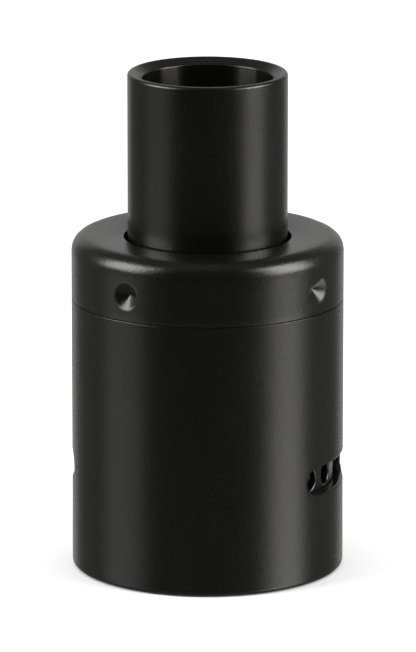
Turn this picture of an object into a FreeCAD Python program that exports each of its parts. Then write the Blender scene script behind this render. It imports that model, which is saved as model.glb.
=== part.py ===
"""A rebuildable dripping atomizer, 22 mm across: deck, air sleeve, top cap and wide drip tip.

Millimetres, +Z up. The origin is the centre of the deck's bottom face, which seats on the device,
and the 510 connector hangs below it. The two air slots of the sleeve face +X and -X, the negative
post stands at +Y and the positive post at -Y. Every function makes one piece, in its working place.
"""

import FreeCAD, Part
import math
import os

V = FreeCAD.Vector

# Outside of the atomizer
BODY_R = 11.0
SEAM_Z = 22.25
CAP_TOP_Z = 27.44
CAP_SHOULDER_R = 1.27
CAP_DISH_DEPTH = 0.2
TIP_TOP_Z = 40.7
TIP_R = 6.46
TIP_BORE_R = 5.26
TIP_LIP_ROUND = 0.26
TIP_LIP_SLOPE_DEPTH = 0.5
TIP_LIP_CREST_R = 6.05
TIP_LEAD_CHAMFER = 0.3
BOTTOM_ROUND = 0.4
SEAM_GAP = 0.05
SEAM_CHAMFER = 0.08
EDGE_BREAK = 0.15

# Air sleeve
SLEEVE_BORE_R = 10.25
SLEEVE_FOOT_BORE_R = 10.52
SLEEVE_BOTTOM_Z = 0.04
SLOT_Z = 8.4
SLOT_HEIGHT = 2.26
SLOT_HALF_ANGLE = 26.4
SLOT_EDGE_BREAK = 0.12

# Top cap: flange above the seam, skirt with the air holes below it
SKIRT_R = 10.17
SKIRT_BORE_R = 9.15
SKIRT_BOTTOM_Z = 5.5
DIMPLE_COUNT = 4
DIMPLE_PHASE_ANGLE = -20.0
DIMPLE_Z = 24.3
DIMPLE_OPENING_R = 1.15
DIMPLE_POINT_ANGLE = 118.0
AIR_HOLE_R = 0.9
AIR_HOLES_A_SIDE = 3
AIR_HOLE_PITCH_ANGLE = 15.7
CHIMNEY_R = 5.4
CHIMNEY_LOW_Z = 21.1
SOCKET_R = 6.76
SOCKET_FLOOR_Z = 22.4
SOCKET_RIM_CHAMFER = 0.08

# O-rings: each leaves O_RING_GAP to the groove's floor and to the wall it seals against
O_RING_GAP = 0.025
CAP_GROOVE_R = 9.4
CAP_GROOVE_Z = 20.2
TIP_GROOVE_R = 5.88
TIP_GROOVE_ZS = (23.9, 25.8)
DECK_GROOVE_R = 9.35
DECK_GROOVE_ZS = (2.1, 4.1)
GROOVE_EXTRA_WIDTH = 0.25

# Deck
FLANGE_R = 10.45
FLANGE_TOP_Z = 0.9
DECK_R = 10.13
DECK_LEDGE_Z = 5.4
WELL_WALL_R = 8.95
WELL_R = 8.3
WELL_TOP_Z = 7.0
WELL_FLOOR_Z = 3.4
RELIEF_INNER_R = 6.4
RELIEF_OUTER_R = 7.0
RELIEF_DEPTH = 0.2

# 510 connector, M7 x 0.5, and the stack that carries the positive side through it
NIPPLE_R = 3.5
NIPPLE_LENGTH = 4.6
NIPPLE_CHAMFER = 0.3
NIPPLE_BORE_R = 2.4
STUB_BORE_R = 1.75
STUB_SHOULDER_Z = -1.2
INSULATOR_SLACK = 0.03
PIN_SHANK_R = 0.88
PIN_HEAD_R = 1.9
PIN_HEAD_TOP_Z = -4.4
PIN_HEAD_BOTTOM_Z = -4.95
PIN_SLOT_DEPTH = 0.3
PIN_TOP_Z = 2.6
PIN_HOLE_TOP_Z = 3.6
STUB_R = 1.45
STUB_LOW_Z = -1.0

# Posts, clamps and their screws
POST_TOP_Z = 10.0
POST_HALF_LENGTH = 3.5
POST_INNER_Y = 2.2
POST_OUTER_Y = 5.6
POST_CORNER_R = 7.0
POST_EDGE_ROUND = 0.25
TOP_CHAMFER = 0.12
INSULATOR_TOP_Z = 4.2
INSULATOR_MARGIN = 0.12
FOOT_HALF_WIDTH = 1.95
FOOT_TOP_Z = 5.5
SCREW_X = 2.2
SCREW_Y = 4.3
SCREW_SHANK_R = 0.9
SCREW_HEAD_R = 1.3
SCREW_HEAD_HEIGHT = 0.85
SCREW_SLOT_DEPTH = 0.4
SCREW_BOTTOM_Z = 7.2
SCREW_HOLE_BOTTOM_Z = 6.7
SCREW_SLACK = 0.02
CLAMP_SLACK = 0.06
CLAMP_THICKNESS = 1.05
CLAMP_INSET = 0.1
CLAMP_HEEL_WIDTH = 0.5
RUN_GAP = 0.02
POST_SCREW_Y = 4.75
POST_SCREW_HEAD_R = 1.1
POST_SCREW_SHANK_R = 0.6
POST_SCREW_TOP_Z = 6.0
POST_SCREW_RIM = 0.1
POST_SCREW_SLOT_DEPTH = 0.35
DRIVER_SLOT_WIDTH = 0.4
PEG_R = 0.5
PEG_X = 2.4
PEG_DEPTH = 0.8

# Coils and wicks
COIL_X = 6.2
COIL_Z = 8.6
COIL_BORE_R = 1.4
WIRE_R = 0.225
COIL_TURNS = 7.75
COIL_LENGTH = 5.0
LEAD_END_X = 0.9
LEAD_BEND_R = 0.6
WICK_R = 1.34
WICK_TAIL_X = 5.0
WICK_TAIL_Y = 4.1
WICK_TAIL_Z = 6.4
WICK_BEND_RS = (1.4, 2.2)

SIDES = {"right": 1, "left": -1}


def lathe(outline):
    """The solid that an outline turns about Z. Each entry is a point (r, z), or
    (mid r, mid z, r, z) for an arc through the middle point to the last one."""
    edges = []
    at = V(outline[0][0], 0, outline[0][1])
    first = at
    for entry in list(outline[1:]) + [None]:
        end = first if entry is None else V(entry[-2], 0, entry[-1])
        if entry is not None and len(entry) == 4:
            edges.append(Part.Arc(at, V(entry[0], 0, entry[1]), end).toShape())
        elif at.distanceToPoint(end) > 1e-7:
            edges.append(Part.makeLine(at, end))
        at = end
    face = Part.Face(Part.Wire(edges))
    return face.revolve(V(0, 0, 0), V(0, 0, 1), 360)


def quarter(centre_r, centre_z, radius, start_angle, end_angle):
    """Outline entries for an arc about a centre in (r, z), where 0 degrees points outward and 90 up."""
    angles = (start_angle, (start_angle + end_angle) / 2, end_angle)
    points = [
        (centre_r + radius * math.cos(math.radians(a)), centre_z + radius * math.sin(math.radians(a)))
        for a in angles
    ]
    return [points[0], points[1] + points[2]]


def cylinder(radius, low_z, high_z, x=0.0, y=0.0):
    return Part.makeCylinder(radius, high_z - low_z, V(x, y, low_z))


def block(low, high):
    return Part.makeBox(high[0] - low[0], high[1] - low[1], high[2] - low[2], V(*low))


def driver_slot(reach, low_z, high_z, y=0.0):
    """The slot across a screw's head, along X."""
    half = DRIVER_SLOT_WIDTH / 2
    return block((-reach, y - half, low_z), (reach, y + half, high_z))


def turned(shape, angle):
    """A copy of the shape, turned about Z by the angle in degrees."""
    copy = shape.copy()
    copy.rotate(V(0, 0, 0), V(0, 0, 1), angle)
    return copy


def groove(floor_r, outer_r, z, section_r):
    """The ring to cut for an O-ring of that section radius."""
    half = section_r + GROOVE_EXTRA_WIDTH / 2
    return cylinder(outer_r, z - half, z + half).cut(cylinder(floor_r, z - half, z + half))


def o_ring_section(floor_r, wall_r):
    return (wall_r - floor_r) / 2 - O_RING_GAP


def o_ring(floor_r, wall_r, z):
    return Part.makeTorus((floor_r + wall_r) / 2, o_ring_section(floor_r, wall_r), V(0, 0, z))


def slot_cutter(height):
    """One air slot, centred on +X, with ends as round as the slot is high."""
    inner_r = SLEEVE_BORE_R - 1
    outer_r = BODY_R + 1
    end_angle = SLOT_HALF_ANGLE - math.degrees(SLOT_HEIGHT / 2 / BODY_R)
    low_z = SLOT_Z - height / 2
    ring = Part.makeCylinder(outer_r, height, V(0, 0, low_z), V(0, 0, 1), 2 * end_angle)
    ring = ring.cut(cylinder(inner_r, low_z - 1, low_z + height + 1))
    cutter = turned(ring, -end_angle)
    for angle in (-end_angle, end_angle):
        end = Part.makeCylinder(height / 2, outer_r - inner_r, V(inner_r, 0, SLOT_Z), V(1, 0, 0))
        cutter = cutter.fuse(turned(end, angle))
    return cutter


def air_sleeve():
    outline = [
        (SLEEVE_FOOT_BORE_R, SLEEVE_BOTTOM_Z),
        (SLEEVE_FOOT_BORE_R, FLANGE_TOP_Z + RUN_GAP),
        (SLEEVE_BORE_R, FLANGE_TOP_Z + RUN_GAP),
        (SLEEVE_BORE_R, SEAM_Z - SEAM_GAP),
        (BODY_R - SEAM_CHAMFER, SEAM_Z - SEAM_GAP),
        (BODY_R, SEAM_Z - SEAM_GAP - SEAM_CHAMFER),
    ]
    outline += quarter(BODY_R - BOTTOM_ROUND, SLEEVE_BOTTOM_Z + BOTTOM_ROUND, BOTTOM_ROUND, 0, -90)
    sleeve = lathe(outline)
    cutter = slot_cutter(SLOT_HEIGHT)
    skin = lathe([
        (BODY_R - SLOT_EDGE_BREAK, SLOT_Z - SLOT_HEIGHT),
        (BODY_R + 1, SLOT_Z - SLOT_HEIGHT),
        (BODY_R + 1, SLOT_Z + SLOT_HEIGHT),
        (BODY_R - SLOT_EDGE_BREAK, SLOT_Z + SLOT_HEIGHT),
    ])
    step = slot_cutter(SLOT_HEIGHT + SLOT_EDGE_BREAK).common(skin)
    for angle in (0, 180):
        sleeve = sleeve.cut(turned(cutter, angle)).cut(turned(step, angle))
    return sleeve


def air_holes():
    """The cutters of the air holes on both sides, the middle ones under two opposite dimples."""
    drill = Part.makeCylinder(AIR_HOLE_R, BODY_R, V(CHIMNEY_R, 0, SLOT_Z), V(1, 0, 0))
    first = DIMPLE_PHASE_ANGLE - AIR_HOLE_PITCH_ANGLE * (AIR_HOLES_A_SIDE - 1) / 2
    angles = [
        side + first + k * AIR_HOLE_PITCH_ANGLE
        for side in (0, 180)
        for k in range(AIR_HOLES_A_SIDE)
    ]
    return [turned(drill, angle) for angle in angles]


def dimples():
    """The cutters of the grip dimples, each the conical point of a drill that stopped short."""
    depth = DIMPLE_OPENING_R / math.tan(math.radians(DIMPLE_POINT_ANGLE / 2))
    cone = Part.makeCone(
        0, 2 * DIMPLE_OPENING_R, 2 * depth, V(BODY_R - depth, 0, DIMPLE_Z), V(1, 0, 0)
    )
    step = 360 / DIMPLE_COUNT
    return [turned(cone, DIMPLE_PHASE_ANGLE + k * step) for k in range(DIMPLE_COUNT)]


def top_cap():
    """The cap, whose top is dished slightly down towards the drip tip's socket."""
    cone_rise = SKIRT_BORE_R - CHIMNEY_R
    rim_z = CAP_TOP_Z - CAP_DISH_DEPTH
    outline = [
        (SKIRT_BORE_R, SKIRT_BOTTOM_Z),
        (SKIRT_BORE_R, CHIMNEY_LOW_Z - cone_rise),
        (CHIMNEY_R, CHIMNEY_LOW_Z),
        (CHIMNEY_R, SOCKET_FLOOR_Z),
        (SOCKET_R, SOCKET_FLOOR_Z),
        (SOCKET_R, rim_z - SOCKET_RIM_CHAMFER),
        (SOCKET_R + SOCKET_RIM_CHAMFER, rim_z),
    ]
    outline += quarter(BODY_R - CAP_SHOULDER_R, CAP_TOP_Z - CAP_SHOULDER_R, CAP_SHOULDER_R, 90, 0)
    outline += [
        (BODY_R, SEAM_Z + SEAM_CHAMFER),
        (BODY_R - SEAM_CHAMFER, SEAM_Z),
        (SKIRT_R, SEAM_Z),
        (SKIRT_R, SKIRT_BOTTOM_Z + EDGE_BREAK),
        (SKIRT_R - EDGE_BREAK, SKIRT_BOTTOM_Z),
    ]
    section = o_ring_section(CAP_GROOVE_R, SLEEVE_BORE_R)
    cap = lathe(outline).cut(groove(CAP_GROOVE_R, BODY_R - 0.5, CAP_GROOVE_Z, section))
    for cutter in air_holes() + dimples():
        cap = cap.cut(cutter)
    return cap


def drip_tip():
    low = SOCKET_FLOOR_Z + RUN_GAP
    outline = [
        (TIP_BORE_R + EDGE_BREAK, low),
        (TIP_BORE_R, low + EDGE_BREAK),
        (TIP_BORE_R, TIP_TOP_Z - TIP_LIP_SLOPE_DEPTH),
        (TIP_LIP_CREST_R, TIP_TOP_Z),
    ]
    outline += quarter(TIP_R - TIP_LIP_ROUND, TIP_TOP_Z - TIP_LIP_ROUND, TIP_LIP_ROUND, 90, 0)
    outline += [
        (TIP_R, low + TIP_LEAD_CHAMFER),
        (TIP_R - TIP_LEAD_CHAMFER, low),
    ]
    tip = lathe(outline)
    section = o_ring_section(TIP_GROOVE_R, SOCKET_R)
    for z in TIP_GROOVE_ZS:
        tip = tip.cut(groove(TIP_GROOVE_R, TIP_R + 1, z, section))
    return tip


def deck_base():
    outline = [
        (NIPPLE_BORE_R, -NIPPLE_LENGTH),
        (NIPPLE_BORE_R, STUB_SHOULDER_Z),
        (STUB_BORE_R, STUB_SHOULDER_Z),
        (STUB_BORE_R, WELL_FLOOR_Z),
        (WELL_R, WELL_FLOOR_Z),
        (WELL_R, WELL_TOP_Z),
        (WELL_WALL_R - EDGE_BREAK, WELL_TOP_Z),
        (WELL_WALL_R, WELL_TOP_Z - EDGE_BREAK),
        (WELL_WALL_R, DECK_LEDGE_Z),
        (DECK_R - EDGE_BREAK, DECK_LEDGE_Z),
        (DECK_R, DECK_LEDGE_Z - EDGE_BREAK),
        (DECK_R, FLANGE_TOP_Z),
        (FLANGE_R, FLANGE_TOP_Z),
        (FLANGE_R, EDGE_BREAK),
        (FLANGE_R - EDGE_BREAK, 0),
        (RELIEF_OUTER_R, 0),
        (RELIEF_OUTER_R, RELIEF_DEPTH),
        (RELIEF_INNER_R, RELIEF_DEPTH),
        (RELIEF_INNER_R, 0),
        (NIPPLE_R, 0),
        (NIPPLE_R, NIPPLE_CHAMFER - NIPPLE_LENGTH),
        (NIPPLE_R - NIPPLE_CHAMFER, -NIPPLE_LENGTH),
    ]
    deck = lathe(outline)
    section = o_ring_section(DECK_GROOVE_R, SLEEVE_BORE_R)
    for z in DECK_GROOVE_ZS:
        deck = deck.cut(groove(DECK_GROOVE_R, BODY_R, z, section))
    deck = deck.cut(cylinder(POST_SCREW_SHANK_R + SCREW_SLACK, 0, WELL_FLOOR_Z + 1, y=POST_SCREW_Y))
    deck = deck.cut(post_screw_head(INSULATOR_SLACK))
    for x in (-PEG_X, PEG_X):
        deck = deck.cut(cylinder(PEG_R, WELL_FLOOR_Z - PEG_DEPTH, WELL_FLOOR_Z + 1, x, SCREW_Y))
    return deck


def post_screw_head(slack):
    """The countersunk head under the negative post, or with slack the seat to cut for it."""
    wide_r = POST_SCREW_HEAD_R + slack
    cone_height = POST_SCREW_HEAD_R - POST_SCREW_SHANK_R
    cone_start = V(0, POST_SCREW_Y, POST_SCREW_RIM)
    cone = Part.makeCone(wide_r, wide_r - cone_height, cone_height, cone_start, V(0, 0, 1))
    return cone.fuse(cylinder(wide_r, 0, POST_SCREW_RIM, y=POST_SCREW_Y))


def negative_post_screw():
    shank = cylinder(POST_SCREW_SHANK_R, POST_SCREW_RIM, POST_SCREW_TOP_Z, y=POST_SCREW_Y)
    slot = driver_slot(POST_SCREW_HEAD_R, 0, POST_SCREW_SLOT_DEPTH, y=POST_SCREW_Y)
    return shank.fuse(post_screw_head(0.0)).cut(slot)


def round_uprights(body):
    """A block with its four upright edges rounded."""
    upright = [e for e in body.Edges if abs(e.tangentAt(e.FirstParameter).z) > 0.99]
    return body.makeFillet(POST_EDGE_ROUND, upright)


def break_top(body, top_z):
    """A plate or block with the edges round its top face chamfered."""
    top = [e for e in body.Edges if all(abs(v.Z - top_z) < 1e-6 for v in e.Vertexes)]
    return body.makeChamfer(TOP_CHAMFER, top)


def tower(low_z):
    """A post's block at +Y, with its upright edges rounded and its outer corners on a circle about Z."""
    low = (-POST_HALF_LENGTH, POST_INNER_Y, low_z)
    high = (POST_HALF_LENGTH, POST_OUTER_Y, POST_TOP_Z)
    body = round_uprights(block(low, high)).common(cylinder(POST_CORNER_R, low_z, POST_TOP_Z))
    body = break_top(body, POST_TOP_Z)
    for x in (-SCREW_X, SCREW_X):
        hole = cylinder(SCREW_SHANK_R + SCREW_SLACK, SCREW_HOLE_BOTTOM_Z, POST_TOP_Z, x, SCREW_Y)
        body = body.cut(hole)
    return body


def negative_post():
    post = tower(WELL_FLOOR_Z)
    for x in (-PEG_X, PEG_X):
        low = WELL_FLOOR_Z - PEG_DEPTH + RUN_GAP
        post = post.fuse(cylinder(PEG_R - SCREW_SLACK, low, WELL_FLOOR_Z, x, SCREW_Y))
    hole_top = POST_SCREW_TOP_Z + RUN_GAP
    return post.cut(cylinder(POST_SCREW_SHANK_R + SCREW_SLACK, WELL_FLOOR_Z, hole_top, y=POST_SCREW_Y))


def positive_foot(low_z, high_z, margin=0.0):
    """The footprint under the positive post, from its block to a round nose at the centre, with a
    margin all round."""
    half = POST_HALF_LENGTH + margin
    back = block((-half, -POST_OUTER_Y - margin, low_z), (half, -POST_INNER_Y + margin, high_z))
    back = back.common(cylinder(POST_CORNER_R + margin, low_z, high_z))
    width = FOOT_HALF_WIDTH + margin
    bridge = block((-width, -SCREW_Y, low_z), (width, 0, high_z))
    return back.fuse(bridge).fuse(cylinder(width, low_z, high_z)).removeSplitter()


def positive_post():
    post = turned(tower(INSULATOR_TOP_Z), 180)
    foot = positive_foot(INSULATOR_TOP_Z, FOOT_TOP_Z)
    stub = cylinder(STUB_R, STUB_LOW_Z, INSULATOR_TOP_Z)
    post = post.fuse(foot).fuse(stub).removeSplitter()
    return post.cut(cylinder(PIN_SHANK_R + SCREW_SLACK, STUB_LOW_Z, PIN_HOLE_TOP_Z))


def post_insulator():
    plate = positive_foot(WELL_FLOOR_Z, INSULATOR_TOP_Z, INSULATOR_MARGIN)
    neck = cylinder(STUB_BORE_R - INSULATOR_SLACK, STUB_LOW_Z, WELL_FLOOR_Z)
    bore = cylinder(STUB_R + INSULATOR_SLACK, STUB_LOW_Z, INSULATOR_TOP_Z)
    return plate.fuse(neck).cut(bore).removeSplitter()


def pin_insulator():
    low_z = PIN_HEAD_TOP_Z + RUN_GAP
    high_z = STUB_SHOULDER_Z - RUN_GAP
    bush = cylinder(NIPPLE_BORE_R - INSULATOR_SLACK, low_z, high_z)
    return bush.cut(cylinder(PIN_SHANK_R + INSULATOR_SLACK, low_z, high_z))


def contact_pin():
    outline = [
        (0, PIN_HEAD_BOTTOM_Z),
        (PIN_HEAD_R - EDGE_BREAK, PIN_HEAD_BOTTOM_Z),
        (PIN_HEAD_R, PIN_HEAD_BOTTOM_Z + EDGE_BREAK),
        (PIN_HEAD_R, PIN_HEAD_TOP_Z),
        (PIN_SHANK_R, PIN_HEAD_TOP_Z),
        (PIN_SHANK_R, PIN_TOP_Z - EDGE_BREAK),
        (PIN_SHANK_R - EDGE_BREAK, PIN_TOP_Z),
        (0, PIN_TOP_Z),
    ]
    return lathe(outline).cut(driver_slot(PIN_HEAD_R, PIN_HEAD_BOTTOM_Z, PIN_HEAD_BOTTOM_Z + PIN_SLOT_DEPTH))


def clamp_plate():
    """The clamp on the negative post. Its heel stands on the post's outer edge, so that it lies level
    on the leads along the inner edge."""
    low_z = POST_TOP_Z + RUN_GAP
    top_z = POST_TOP_Z + 2 * WIRE_R + RUN_GAP + CLAMP_THICKNESS
    half = POST_HALF_LENGTH - CLAMP_INSET
    outer_y = POST_OUTER_Y - CLAMP_INSET
    plate = round_uprights(block((-half, POST_INNER_Y + CLAMP_INSET, low_z), (half, outer_y, top_z)))
    plate = plate.common(cylinder(POST_CORNER_R - CLAMP_INSET, low_z, top_z))
    plate = break_top(plate, top_z)
    hollow = block((-half, 0, 0), (half, outer_y - CLAMP_HEEL_WIDTH, top_z - CLAMP_THICKNESS))
    plate = plate.cut(hollow)
    for x in (-SCREW_X, SCREW_X):
        plate = plate.cut(cylinder(SCREW_SHANK_R + CLAMP_SLACK, low_z, top_z, x, SCREW_Y))
    return plate


def clamp_screw():
    """The clamp screw at +X of the negative post: a slotted cheese head on a plain shank."""
    seat_z = POST_TOP_Z + 2 * WIRE_R + CLAMP_THICKNESS + 2 * RUN_GAP
    head_top_z = seat_z + SCREW_HEAD_HEIGHT
    outline = [
        (0, SCREW_BOTTOM_Z),
        (SCREW_SHANK_R - EDGE_BREAK, SCREW_BOTTOM_Z),
        (SCREW_SHANK_R, SCREW_BOTTOM_Z + EDGE_BREAK),
        (SCREW_SHANK_R, seat_z),
        (SCREW_HEAD_R, seat_z),
        (SCREW_HEAD_R, head_top_z - EDGE_BREAK),
        (SCREW_HEAD_R - EDGE_BREAK, head_top_z),
        (0, head_top_z),
    ]
    screw = lathe(outline).cut(driver_slot(SCREW_HEAD_R, head_top_z - SCREW_SLOT_DEPTH, head_top_z))
    screw.translate(V(SCREW_X, SCREW_Y, 0))
    return screw


def rod(start, end):
    """A straight piece of coil wire from one point to another."""
    along = end - start
    return Part.makeCylinder(WIRE_R, along.Length, start, along)


def coil():
    """The coil at +X: a helix about Y, with one lead leaving over its top and one bent up from its
    inner side, both towards the posts."""
    mean_r = COIL_BORE_R + WIRE_R
    helix = Part.makeHelix(COIL_LENGTH / COIL_TURNS, COIL_LENGTH, mean_r)
    helix.rotate(V(0, 0, 0), V(1, 0, 0), -90)
    helix = helix.mirror(V(0, 0, 0), V(1, 0, 0))
    helix.translate(V(COIL_X, -COIL_LENGTH / 2, COIL_Z))
    spine = Part.Wire(helix.Edges)
    first = spine.Edges[0]
    start = first.valueAt(first.FirstParameter)
    away = first.tangentAt(first.FirstParameter) * -1
    last = spine.Edges[-1]
    finish = last.valueAt(last.LastParameter)
    section = Part.Wire(Part.makeCircle(WIRE_R, start, away))
    body = spine.makePipeShell([section], True, True)

    knee = start + V(0, 0, mean_r - LEAD_BEND_R)
    middle = knee + V(LEAD_BEND_R * (math.sqrt(0.5) - 1), 0, LEAD_BEND_R * math.sqrt(0.5))
    top = knee + V(-LEAD_BEND_R, 0, LEAD_BEND_R)
    bend = Part.Wire(Part.Arc(knee, middle, top).toShape())
    elbow = bend.makePipeShell([Part.Wire(Part.makeCircle(WIRE_R, knee, V(0, 0, 1)))], True, True)
    low_lead = rod(start, knee).fuse(elbow).fuse(rod(top, V(LEAD_END_X, top.y, top.z)))
    high_lead = rod(finish, V(LEAD_END_X, finish.y, finish.z))
    return body.fuse(low_lead).fuse(high_lead)


def tangent_path(points, radii):
    """Straight runs through the points, joined by tangent arcs of the given radii."""
    edges = []
    at = points[0]
    for before, corner, after, radius in zip(points, points[1:], points[2:], radii):
        into = (corner - before).normalize()
        out = (after - corner).normalize()
        turn = into.getAngle(out)
        reach = radius * math.tan(turn / 2)
        first = corner - into * reach
        last = corner + out * reach
        centre = first + (out - into * math.cos(turn)).normalize() * radius
        middle = centre + (corner - centre).normalize() * radius
        edges.append(Part.makeLine(at, first))
        edges.append(Part.Arc(first, middle, last).toShape())
        at = last
    edges.append(Part.makeLine(at, points[-1]))
    return Part.Wire(edges)


def wick():
    """The wick through the coil at +X, as a plain tube whose two tails turn down into the well."""
    points = [
        V(COIL_X, 0, COIL_Z),
        V(COIL_X, WICK_TAIL_Y, COIL_Z),
        V(WICK_TAIL_X, WICK_TAIL_Y, WICK_TAIL_Z),
        V(WICK_TAIL_X, WICK_TAIL_Y, WELL_FLOOR_Z + RUN_GAP),
    ]
    side = tangent_path(points, WICK_BEND_RS)
    section = Part.Wire(Part.makeCircle(WICK_R, points[0], V(0, 1, 0)))
    tube = side.makePipeShell([section], True, True)
    return tube.fuse(tube.mirror(V(0, 0, 0), V(0, 1, 0))).removeSplitter()


def all_pieces():
    """Every piece by its node's name."""
    pieces = {
        "air_sleeve": air_sleeve(),
        "top_cap": top_cap(),
        "drip_tip": drip_tip(),
        "tip_o_ring_lower": o_ring(TIP_GROOVE_R, SOCKET_R, TIP_GROOVE_ZS[0]),
        "tip_o_ring_upper": o_ring(TIP_GROOVE_R, SOCKET_R, TIP_GROOVE_ZS[1]),
        "cap_o_ring": o_ring(CAP_GROOVE_R, SLEEVE_BORE_R, CAP_GROOVE_Z),
        "deck_o_ring_lower": o_ring(DECK_GROOVE_R, SLEEVE_BORE_R, DECK_GROOVE_ZS[0]),
        "deck_o_ring_upper": o_ring(DECK_GROOVE_R, SLEEVE_BORE_R, DECK_GROOVE_ZS[1]),
        "deck_base": deck_base(),
        "negative_post": negative_post(),
        "negative_post_screw": negative_post_screw(),
        "positive_post": positive_post(),
        "post_insulator": post_insulator(),
        "pin_insulator": pin_insulator(),
        "contact_pin": contact_pin(),
        "negative_clamp": clamp_plate(),
        "positive_clamp": turned(clamp_plate(), 180),
    }
    screw = clamp_screw()
    for side, sign in SIDES.items():
        at_negative = screw if sign > 0 else screw.mirror(V(0, 0, 0), V(1, 0, 0))
        pieces["negative_clamp_screw_" + side] = at_negative
        pieces["positive_clamp_screw_" + side] = at_negative.mirror(V(0, 0, 0), V(0, 1, 0))
        pieces["coil_" + side] = coil() if sign > 0 else turned(coil(), 180)
        pieces["wick_" + side] = wick() if sign > 0 else turned(wick(), 180)
    return pieces


def main():
    os.makedirs("parts", exist_ok=True)
    for name, shape in all_pieces().items():
        shape.exportStep("parts/" + name + ".step")
        solids = len(shape.Solids)
        print(f"{name:30s} valid {shape.isValid()} solids {solids} volume {shape.Volume:.3f}")


main()
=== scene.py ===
"""A black rebuildable dripping atomizer on a pale floor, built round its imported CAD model.

Lengths are in millimetres up to the point where a mesh is made, and in metres from there on. The
frame is the CAD's: the body's axis is Z, its flat bottom is at z = 0, the air slots face +X and -X.
"""

import math
from collections import namedtuple

import bmesh
import bpy
import numpy as np
from mathutils import Matrix, Vector, noise


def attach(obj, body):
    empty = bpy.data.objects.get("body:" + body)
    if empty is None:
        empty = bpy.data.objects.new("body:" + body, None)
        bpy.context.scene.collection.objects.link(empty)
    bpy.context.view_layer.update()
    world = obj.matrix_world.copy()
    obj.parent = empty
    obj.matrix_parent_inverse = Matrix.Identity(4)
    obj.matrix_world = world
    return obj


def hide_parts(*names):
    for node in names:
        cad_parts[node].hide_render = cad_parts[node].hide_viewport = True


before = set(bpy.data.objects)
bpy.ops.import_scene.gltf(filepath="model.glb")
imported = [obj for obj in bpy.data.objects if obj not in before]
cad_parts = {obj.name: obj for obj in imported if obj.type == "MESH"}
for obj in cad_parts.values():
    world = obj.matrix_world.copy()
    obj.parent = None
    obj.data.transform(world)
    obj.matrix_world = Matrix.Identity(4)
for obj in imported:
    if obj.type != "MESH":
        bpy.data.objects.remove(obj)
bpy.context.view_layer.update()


class Patch(namedtuple("Patch", "half_height rows half_columns")):
    """A patch of finer mesh round a feature: half its height, its rows, its columns to each side."""

    def span(self, middle):
        """The low and high ends of the patch when this is its middle."""
        return middle - self.half_height, middle + self.half_height


class Panel(namedtuple("Panel", "name start end width radiance")):
    """A light panel whose middle line runs from one direction (azimuth, elevation) to another. Its
    width is in millimetres, like every length here."""


MM = 0.001
FULL_TURN = 2 * math.pi

# Fineness of the meshes, and the margins for calling things equal, upright or inside a wall
COLUMNS = 360
ROUND_STEPS = 5
EDGE_STEPS = 5
SMALL_EDGE_STEPS = 3
PATCH_SHARES = (0.4, 0.75)
NEAR = 1e-6
NEARLY_UPRIGHT = 0.1
SKIN = 0.004

# Roundings of the ordinary edges
KEEN_ROUND = 0.04
FINE_ROUND = 0.05
NEAT_ROUND = 0.06
EDGE_ROUND = 0.08
SOFT_ROUND = 0.12

# The camera's place, from the object's axis and the floor
CAMERA_AZIMUTH = 16.5
CAMERA_DISTANCE = 535.56
CAMERA_HEIGHT = 151.51
CAMERA_PITCH = 13.826
CAMERA_LENS = 376.3
CAMERA_SENSOR = 36.0
CAMERA_SHIFT_X = 0.0006
CAMERA_CLIP = (0.01, 40.0)

# Outside
BODY_R = 11.0
SEAM_Z = 22.25
SEAM_GAP = 0.05
CAP_TOP_Z = 27.44
CAP_SHOULDER = 1.27
CAP_DISH_DEPTH = 0.2
TIP_R = 6.46
TIP_BORE_R = 5.26
TIP_LOW_Z = 22.42
TIP_LOW_ROUND = 0.25
TIP_BORE_ROUND = 0.15
TIP_TOP_Z = 40.7
TIP_LIP_ROUND = 0.26
TIP_LIP_CREST_R = 6.05
TIP_LIP_DEPTH = 0.5
SLEEVE_BORE_R = 10.25
SLEEVE_FOOT_BORE_R = 10.52
SLEEVE_LOW_Z = 0.04
SLEEVE_STEP_Z = 0.92
FOOT_ROUND = 0.4

# Air slots
SLOT_Z = 8.4
SLOT_R = 1.13
SLOT_HALF_ANGLE = 26.4
SLOT_ANGLES = (0, 180)
SLOT_EDGE = 0.16
SLOT_INNER_EDGE = 0.05
SLOT_PATCH = Patch(1.7, 16, 31)

# Air holes, the middle ones under two opposite dimples
HOLE_R = 0.9
HOLE_EDGE = 0.16
HOLE_PITCH_ANGLE = 15.7
HOLE_PATCH = Patch(1.25, 12, 7)

# Grip dimples, left by a drill's point. The worn rim is (distance past the opening, depth), and the
# rings of the cone run from one share of the opening to another
FIRST_DIMPLE_ANGLE = -20
DIMPLE_PITCH_ANGLE = 90
DIMPLES = 4
DIMPLE_Z = 24.3
DIMPLE_R = 1.15
DIMPLE_POINT_ANGLE = 118
DIMPLE_RIM = ((0.05, 0.0), (0.02, 0.006), (-0.01, 0.024))
DIMPLE_WALL = (0.97, 0.02)
DIMPLE_WALL_STEPS = 11
DIMPLE_PATCH = Patch(1.5, 14, 8)

# Top cap's inside
SKIRT_R = 10.17
SKIRT_BORE_R = 9.15
SKIRT_LOW_Z = 5.5
CHIMNEY_R = 5.4
CHIMNEY_LOW_Z = 21.1
CHIMNEY_ROUND = 0.6
CONE_LOW_Z = 17.35
CONE_ROUND = 0.8
SOCKET_R = 6.76
SOCKET_FLOOR_Z = 22.4
SOCKET_FLOOR_ROUND = 0.15

# Grooves as (floor radius, middle heights, half width), and the O-rings in them
CAP_GROOVE = (9.4, (20.2,), 0.525)
TIP_GROOVES = (5.88, (23.9, 25.8), 0.54)
DECK_GROOVES = (9.35, (2.1, 4.1), 0.55)
CAP_RING_R = 0.4
TIP_RING_R = 0.415
DECK_RING_R = 0.425
RING_FLASH = 0.012
RING_COLUMNS = 180
RING_SIDES = 28

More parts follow.
